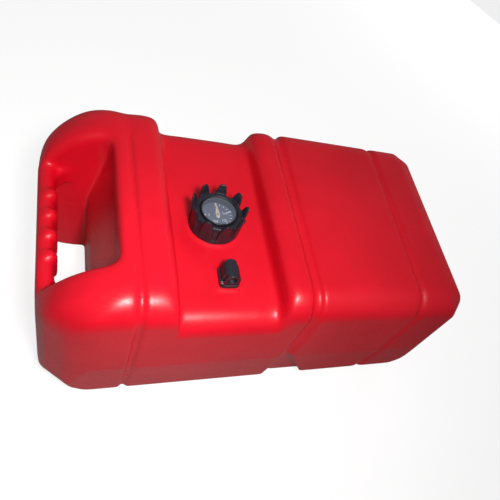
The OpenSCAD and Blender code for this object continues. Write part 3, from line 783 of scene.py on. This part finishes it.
brass = finish("brass", (0.6, 0.4, 0.14), 0.32, Metallic=1)
vary(brass, pattern(brass, 130, 4), "Base Color", (0.45, 0.28, 0.1), (0.68, 0.47, 0.18))
vary(brass, pattern(brass, 400, 3), "Roughness", 0.25, 0.45)
relief(brass, pattern(brass, 1600, 2, (1, 1, 4)), 0.12, 0.06)

# %% [markdown]
# ## Float and dip tube
# The float is closed-cell nitrile foam that fuel doesn't harm: brown-black, with the small round pits of
# cut cells, which a cell pattern gives. The dip tube is natural nylon, milky and faintly yellow from the
# fuel.

# %% Foam and tube
float_foam = finish("float_foam", (0.05, 0.036, 0.026), 0.85)
vary(float_foam, pattern(float_foam, 200, 3), "Base Color", (0.035, 0.025, 0.018), (0.075, 0.055, 0.04))
relief(float_foam, pattern(float_foam, 1100, 0, cells=True), 0.6, 0.5)

tube_plastic = finish("tube_plastic", (0.62, 0.58, 0.46), 0.42, Subsurface_Weight=0.15)
vary(tube_plastic, pattern(tube_plastic, 45, 3), "Base Color", (0.55, 0.5, 0.37), (0.68, 0.65, 0.54))
relief(tube_plastic, pattern(tube_plastic, 700, 2, (1, 1, 0.2)), 0.15, 0.1)

# %% [markdown]
# ## Put the finishes on
# Each CAD part has a material slot in its record, and gets the finish made for that slot. The frame
# already holds plain materials with the names of the slots, so Blender adds a number to the new ones, and
# a table finds them by their slot instead.

# %% Put every finish on
FINISHES = dict(red_shell=red_shell, black_plastic=black_plastic, black_rubber=black_rubber,
                grey_rubber=grey_rubber, dial_plastic=dial_plastic, clear_window=clear_window,
                pointer_orange=pointer_orange, bright_steel=bright_steel, float_foam=float_foam,
                brass=brass, tube_plastic=tube_plastic)
SLOT_OF = {
    "tank_shell": "red_shell", "neck_gasket": "black_rubber", "pickup_gasket": "black_rubber",
    "cap_ring": "black_plastic", "gauge_housing": "black_plastic", "foot_plate": "black_plastic",
    "pickup_body": "black_plastic", "gauge_dial": "dial_plastic", "lens_seal": "grey_rubber",
    "vent_valve": "grey_rubber", "gauge_lens": "clear_window", "pointer": "pointer_orange",
    "spindle": "bright_steel", "twisted_strip": "bright_steel", "guide_rods": "bright_steel",
    "rod_clips": "bright_steel", "slot_plate": "bright_steel", "pickup_screws": "bright_steel",
    "pickup_screen": "bright_steel", "float": "float_foam", "screw_inserts": "brass",
    "tube_ferrule": "brass", "dip_tube": "tube_plastic"}


def put_on(obj, made):
    obj.data.materials.clear()
    obj.data.materials.append(made)


for name, obj in NODES.items():
    put_on(obj, FINISHES[SLOT_OF[name]])
print(len(NODES), "CAD parts finished")

# %% [markdown]
# ## Tie the new pieces to the model
# A new piece has to move with the body it belongs to, such as the cap when it is unscrewed. Four of them
# stand for a CAD part, which is hidden. The print is an extra on the dial, rides with the gauge and has its
# own finish.

# %% The new pieces ride and stand for their parts
for piece, body, node_name, made in (
        (shell, "tank", "tank_shell", red_shell), (cap, "cap", "cap_ring", black_plastic),
        (elbow, "tank", "pickup_body", black_plastic), (screws, "tank", "pickup_screws", bright_steel),
        (dial_marks, "gauge", None, dial_print)):
    put_on(piece, made)
    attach(piece, body)
    if node_name:
        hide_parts(node_name)
    print(piece.name, "rides on", body)

# %% [markdown]
# ## Floor and light
# The photograph has a plain white background. The floor is a mid grey for the light that it throws back on
# the tank, but the camera sees it nearly white, with the tank's shadow on it, and so does anything behind
# glass. Reflections see it dimmer, because a full white would lay a haze on the red plastic. One small
# lamp stands where the photographer's flash was, a weak world fills the shadows, and a large low lamp
# lights the two sides that the photograph doesn't show.

# %% How the studio is seen
SHOWN_IN_REFLECTIONS = 0.08


def seen_directly(made):
    """1 for camera and glass rays, less for reflections, 0 for rays that carry light to the tank."""
    path = add(made, "LightPath")
    through = combine(made, "MAXIMUM", path.outputs["Is Camera Ray"], path.outputs["Is Transmission Ray"])
    dimmed = combine(made, "MULTIPLY", path.outputs["Is Glossy Ray"], SHOWN_IN_REFLECTIONS)
    return combine(made, "MAXIMUM", through, dimmed)


# %% Floor
FLOOR_GREY, FLOOR_GLOW = (0.3, 0.3, 0.3), 0.82

floor = start("floor", bpy.ops.mesh.primitive_plane_add, size=30)
pale_floor = finish("pale_floor", FLOOR_GREY, 0.9, Specular_IOR_Level=0)
shaded = add(pale_floor, "BsdfDiffuse")
shaded.inputs["Color"].default_value = (*FLOOR_GREY, 1)
glow = add(pale_floor, "Emission")
glow.inputs["Strength"].default_value = FLOOR_GLOW
shown = add(pale_floor, "AddShader")
join(pale_floor, shaded.outputs[0], shown.inputs[0])
join(pale_floor, glow.outputs[0], shown.inputs[1])
mix = add(pale_floor, "MixShader")
join(pale_floor, seen_directly(pale_floor), mix.inputs[0])
join(pale_floor, principled(pale_floor).outputs[0], mix.inputs[1])
join(pale_floor, shown.outputs[0], mix.inputs[2])
join(pale_floor, mix.outputs[0], pale_floor.node_tree.nodes["Material Output"].inputs[0])
put_on(floor, pale_floor)


# %% Lamps
def soft_light(name, place, aim, size, watts, spread_degrees=180):
    data = bpy.data.lights.new(name, "AREA")
    data.energy = watts
    data.spread = math.radians(spread_degrees)
    data.size = size
    lamp = bpy.data.objects.new(name, data)
    lamp.location = place
    lamp.rotation_euler = (Vector(aim) - Vector(place)).to_track_quat("-Z", "Y").to_euler()
    bpy.context.scene.collection.objects.link(lamp)
    return lamp


soft_light("key", place=(-0.16, -0.58, 1.06), aim=(-0.2, -0.08, 0.2), size=0.17, watts=2.35,
           spread_degrees=80)
back_fill = soft_light("back_fill", place=(1.45, 1.35, 0.5), aim=(0, 0, 0.1), size=1.4, watts=14)
back_fill.visible_glossy = False  # no sheen across the top, which the photograph doesn't have

# %% World
FILL = 0.17

world = bpy.data.worlds.new("studio")
world.use_nodes = True
sky = world.node_tree.nodes["Background"]
sky.inputs["Color"].default_value = (1, 1, 1, 1)
strength = add(world, "MapRange")            # full white where it is seen, FILL where it only lights
strength.inputs["To Min"].default_value = FILL
join(world, seen_directly(world), strength.inputs["Value"])
join(world, strength.outputs["Result"], sky.inputs["Strength"])
bpy.context.scene.world = world
bpy.context.scene.view_settings.view_transform = "Standard"
